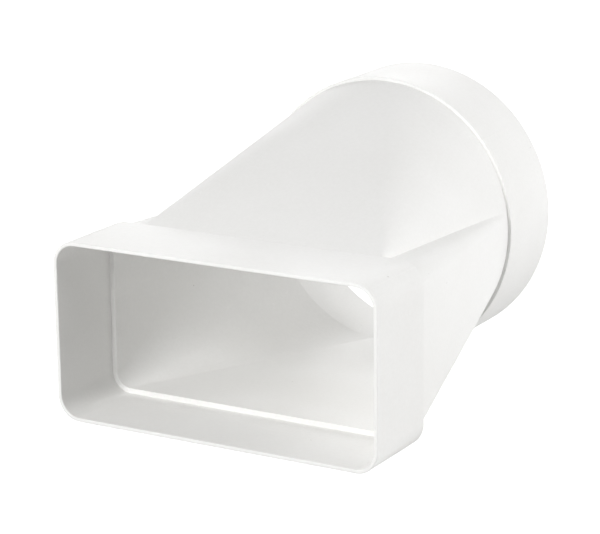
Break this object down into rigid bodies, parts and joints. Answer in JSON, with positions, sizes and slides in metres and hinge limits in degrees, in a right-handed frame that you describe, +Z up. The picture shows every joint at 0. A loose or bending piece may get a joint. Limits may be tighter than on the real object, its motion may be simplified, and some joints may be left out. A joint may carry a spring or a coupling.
{
  "type": "duct adapter",
  "caption": "Moulded plastic duct adapter: rectangular sleeve for flat duct, tapered hood and round collar for pipe, with a flush underside.",
  "frame": {"origin": "on the flush underside, below the middle of the length and width", "axes": "+Z up; +Y along the duct, from the rectangular mouth at -Y to the round collar at +Y; X across, the plane of symmetry at X = 0"},
  "size_m": [0.1236, 0.1502, 0.103],
  "materials": {
    "white_plastic": "satin white moulded plastic"
  },
  "bodies": {
    "root": {"duct_adapter": "white_plastic"}
  },
  "joints": []
}
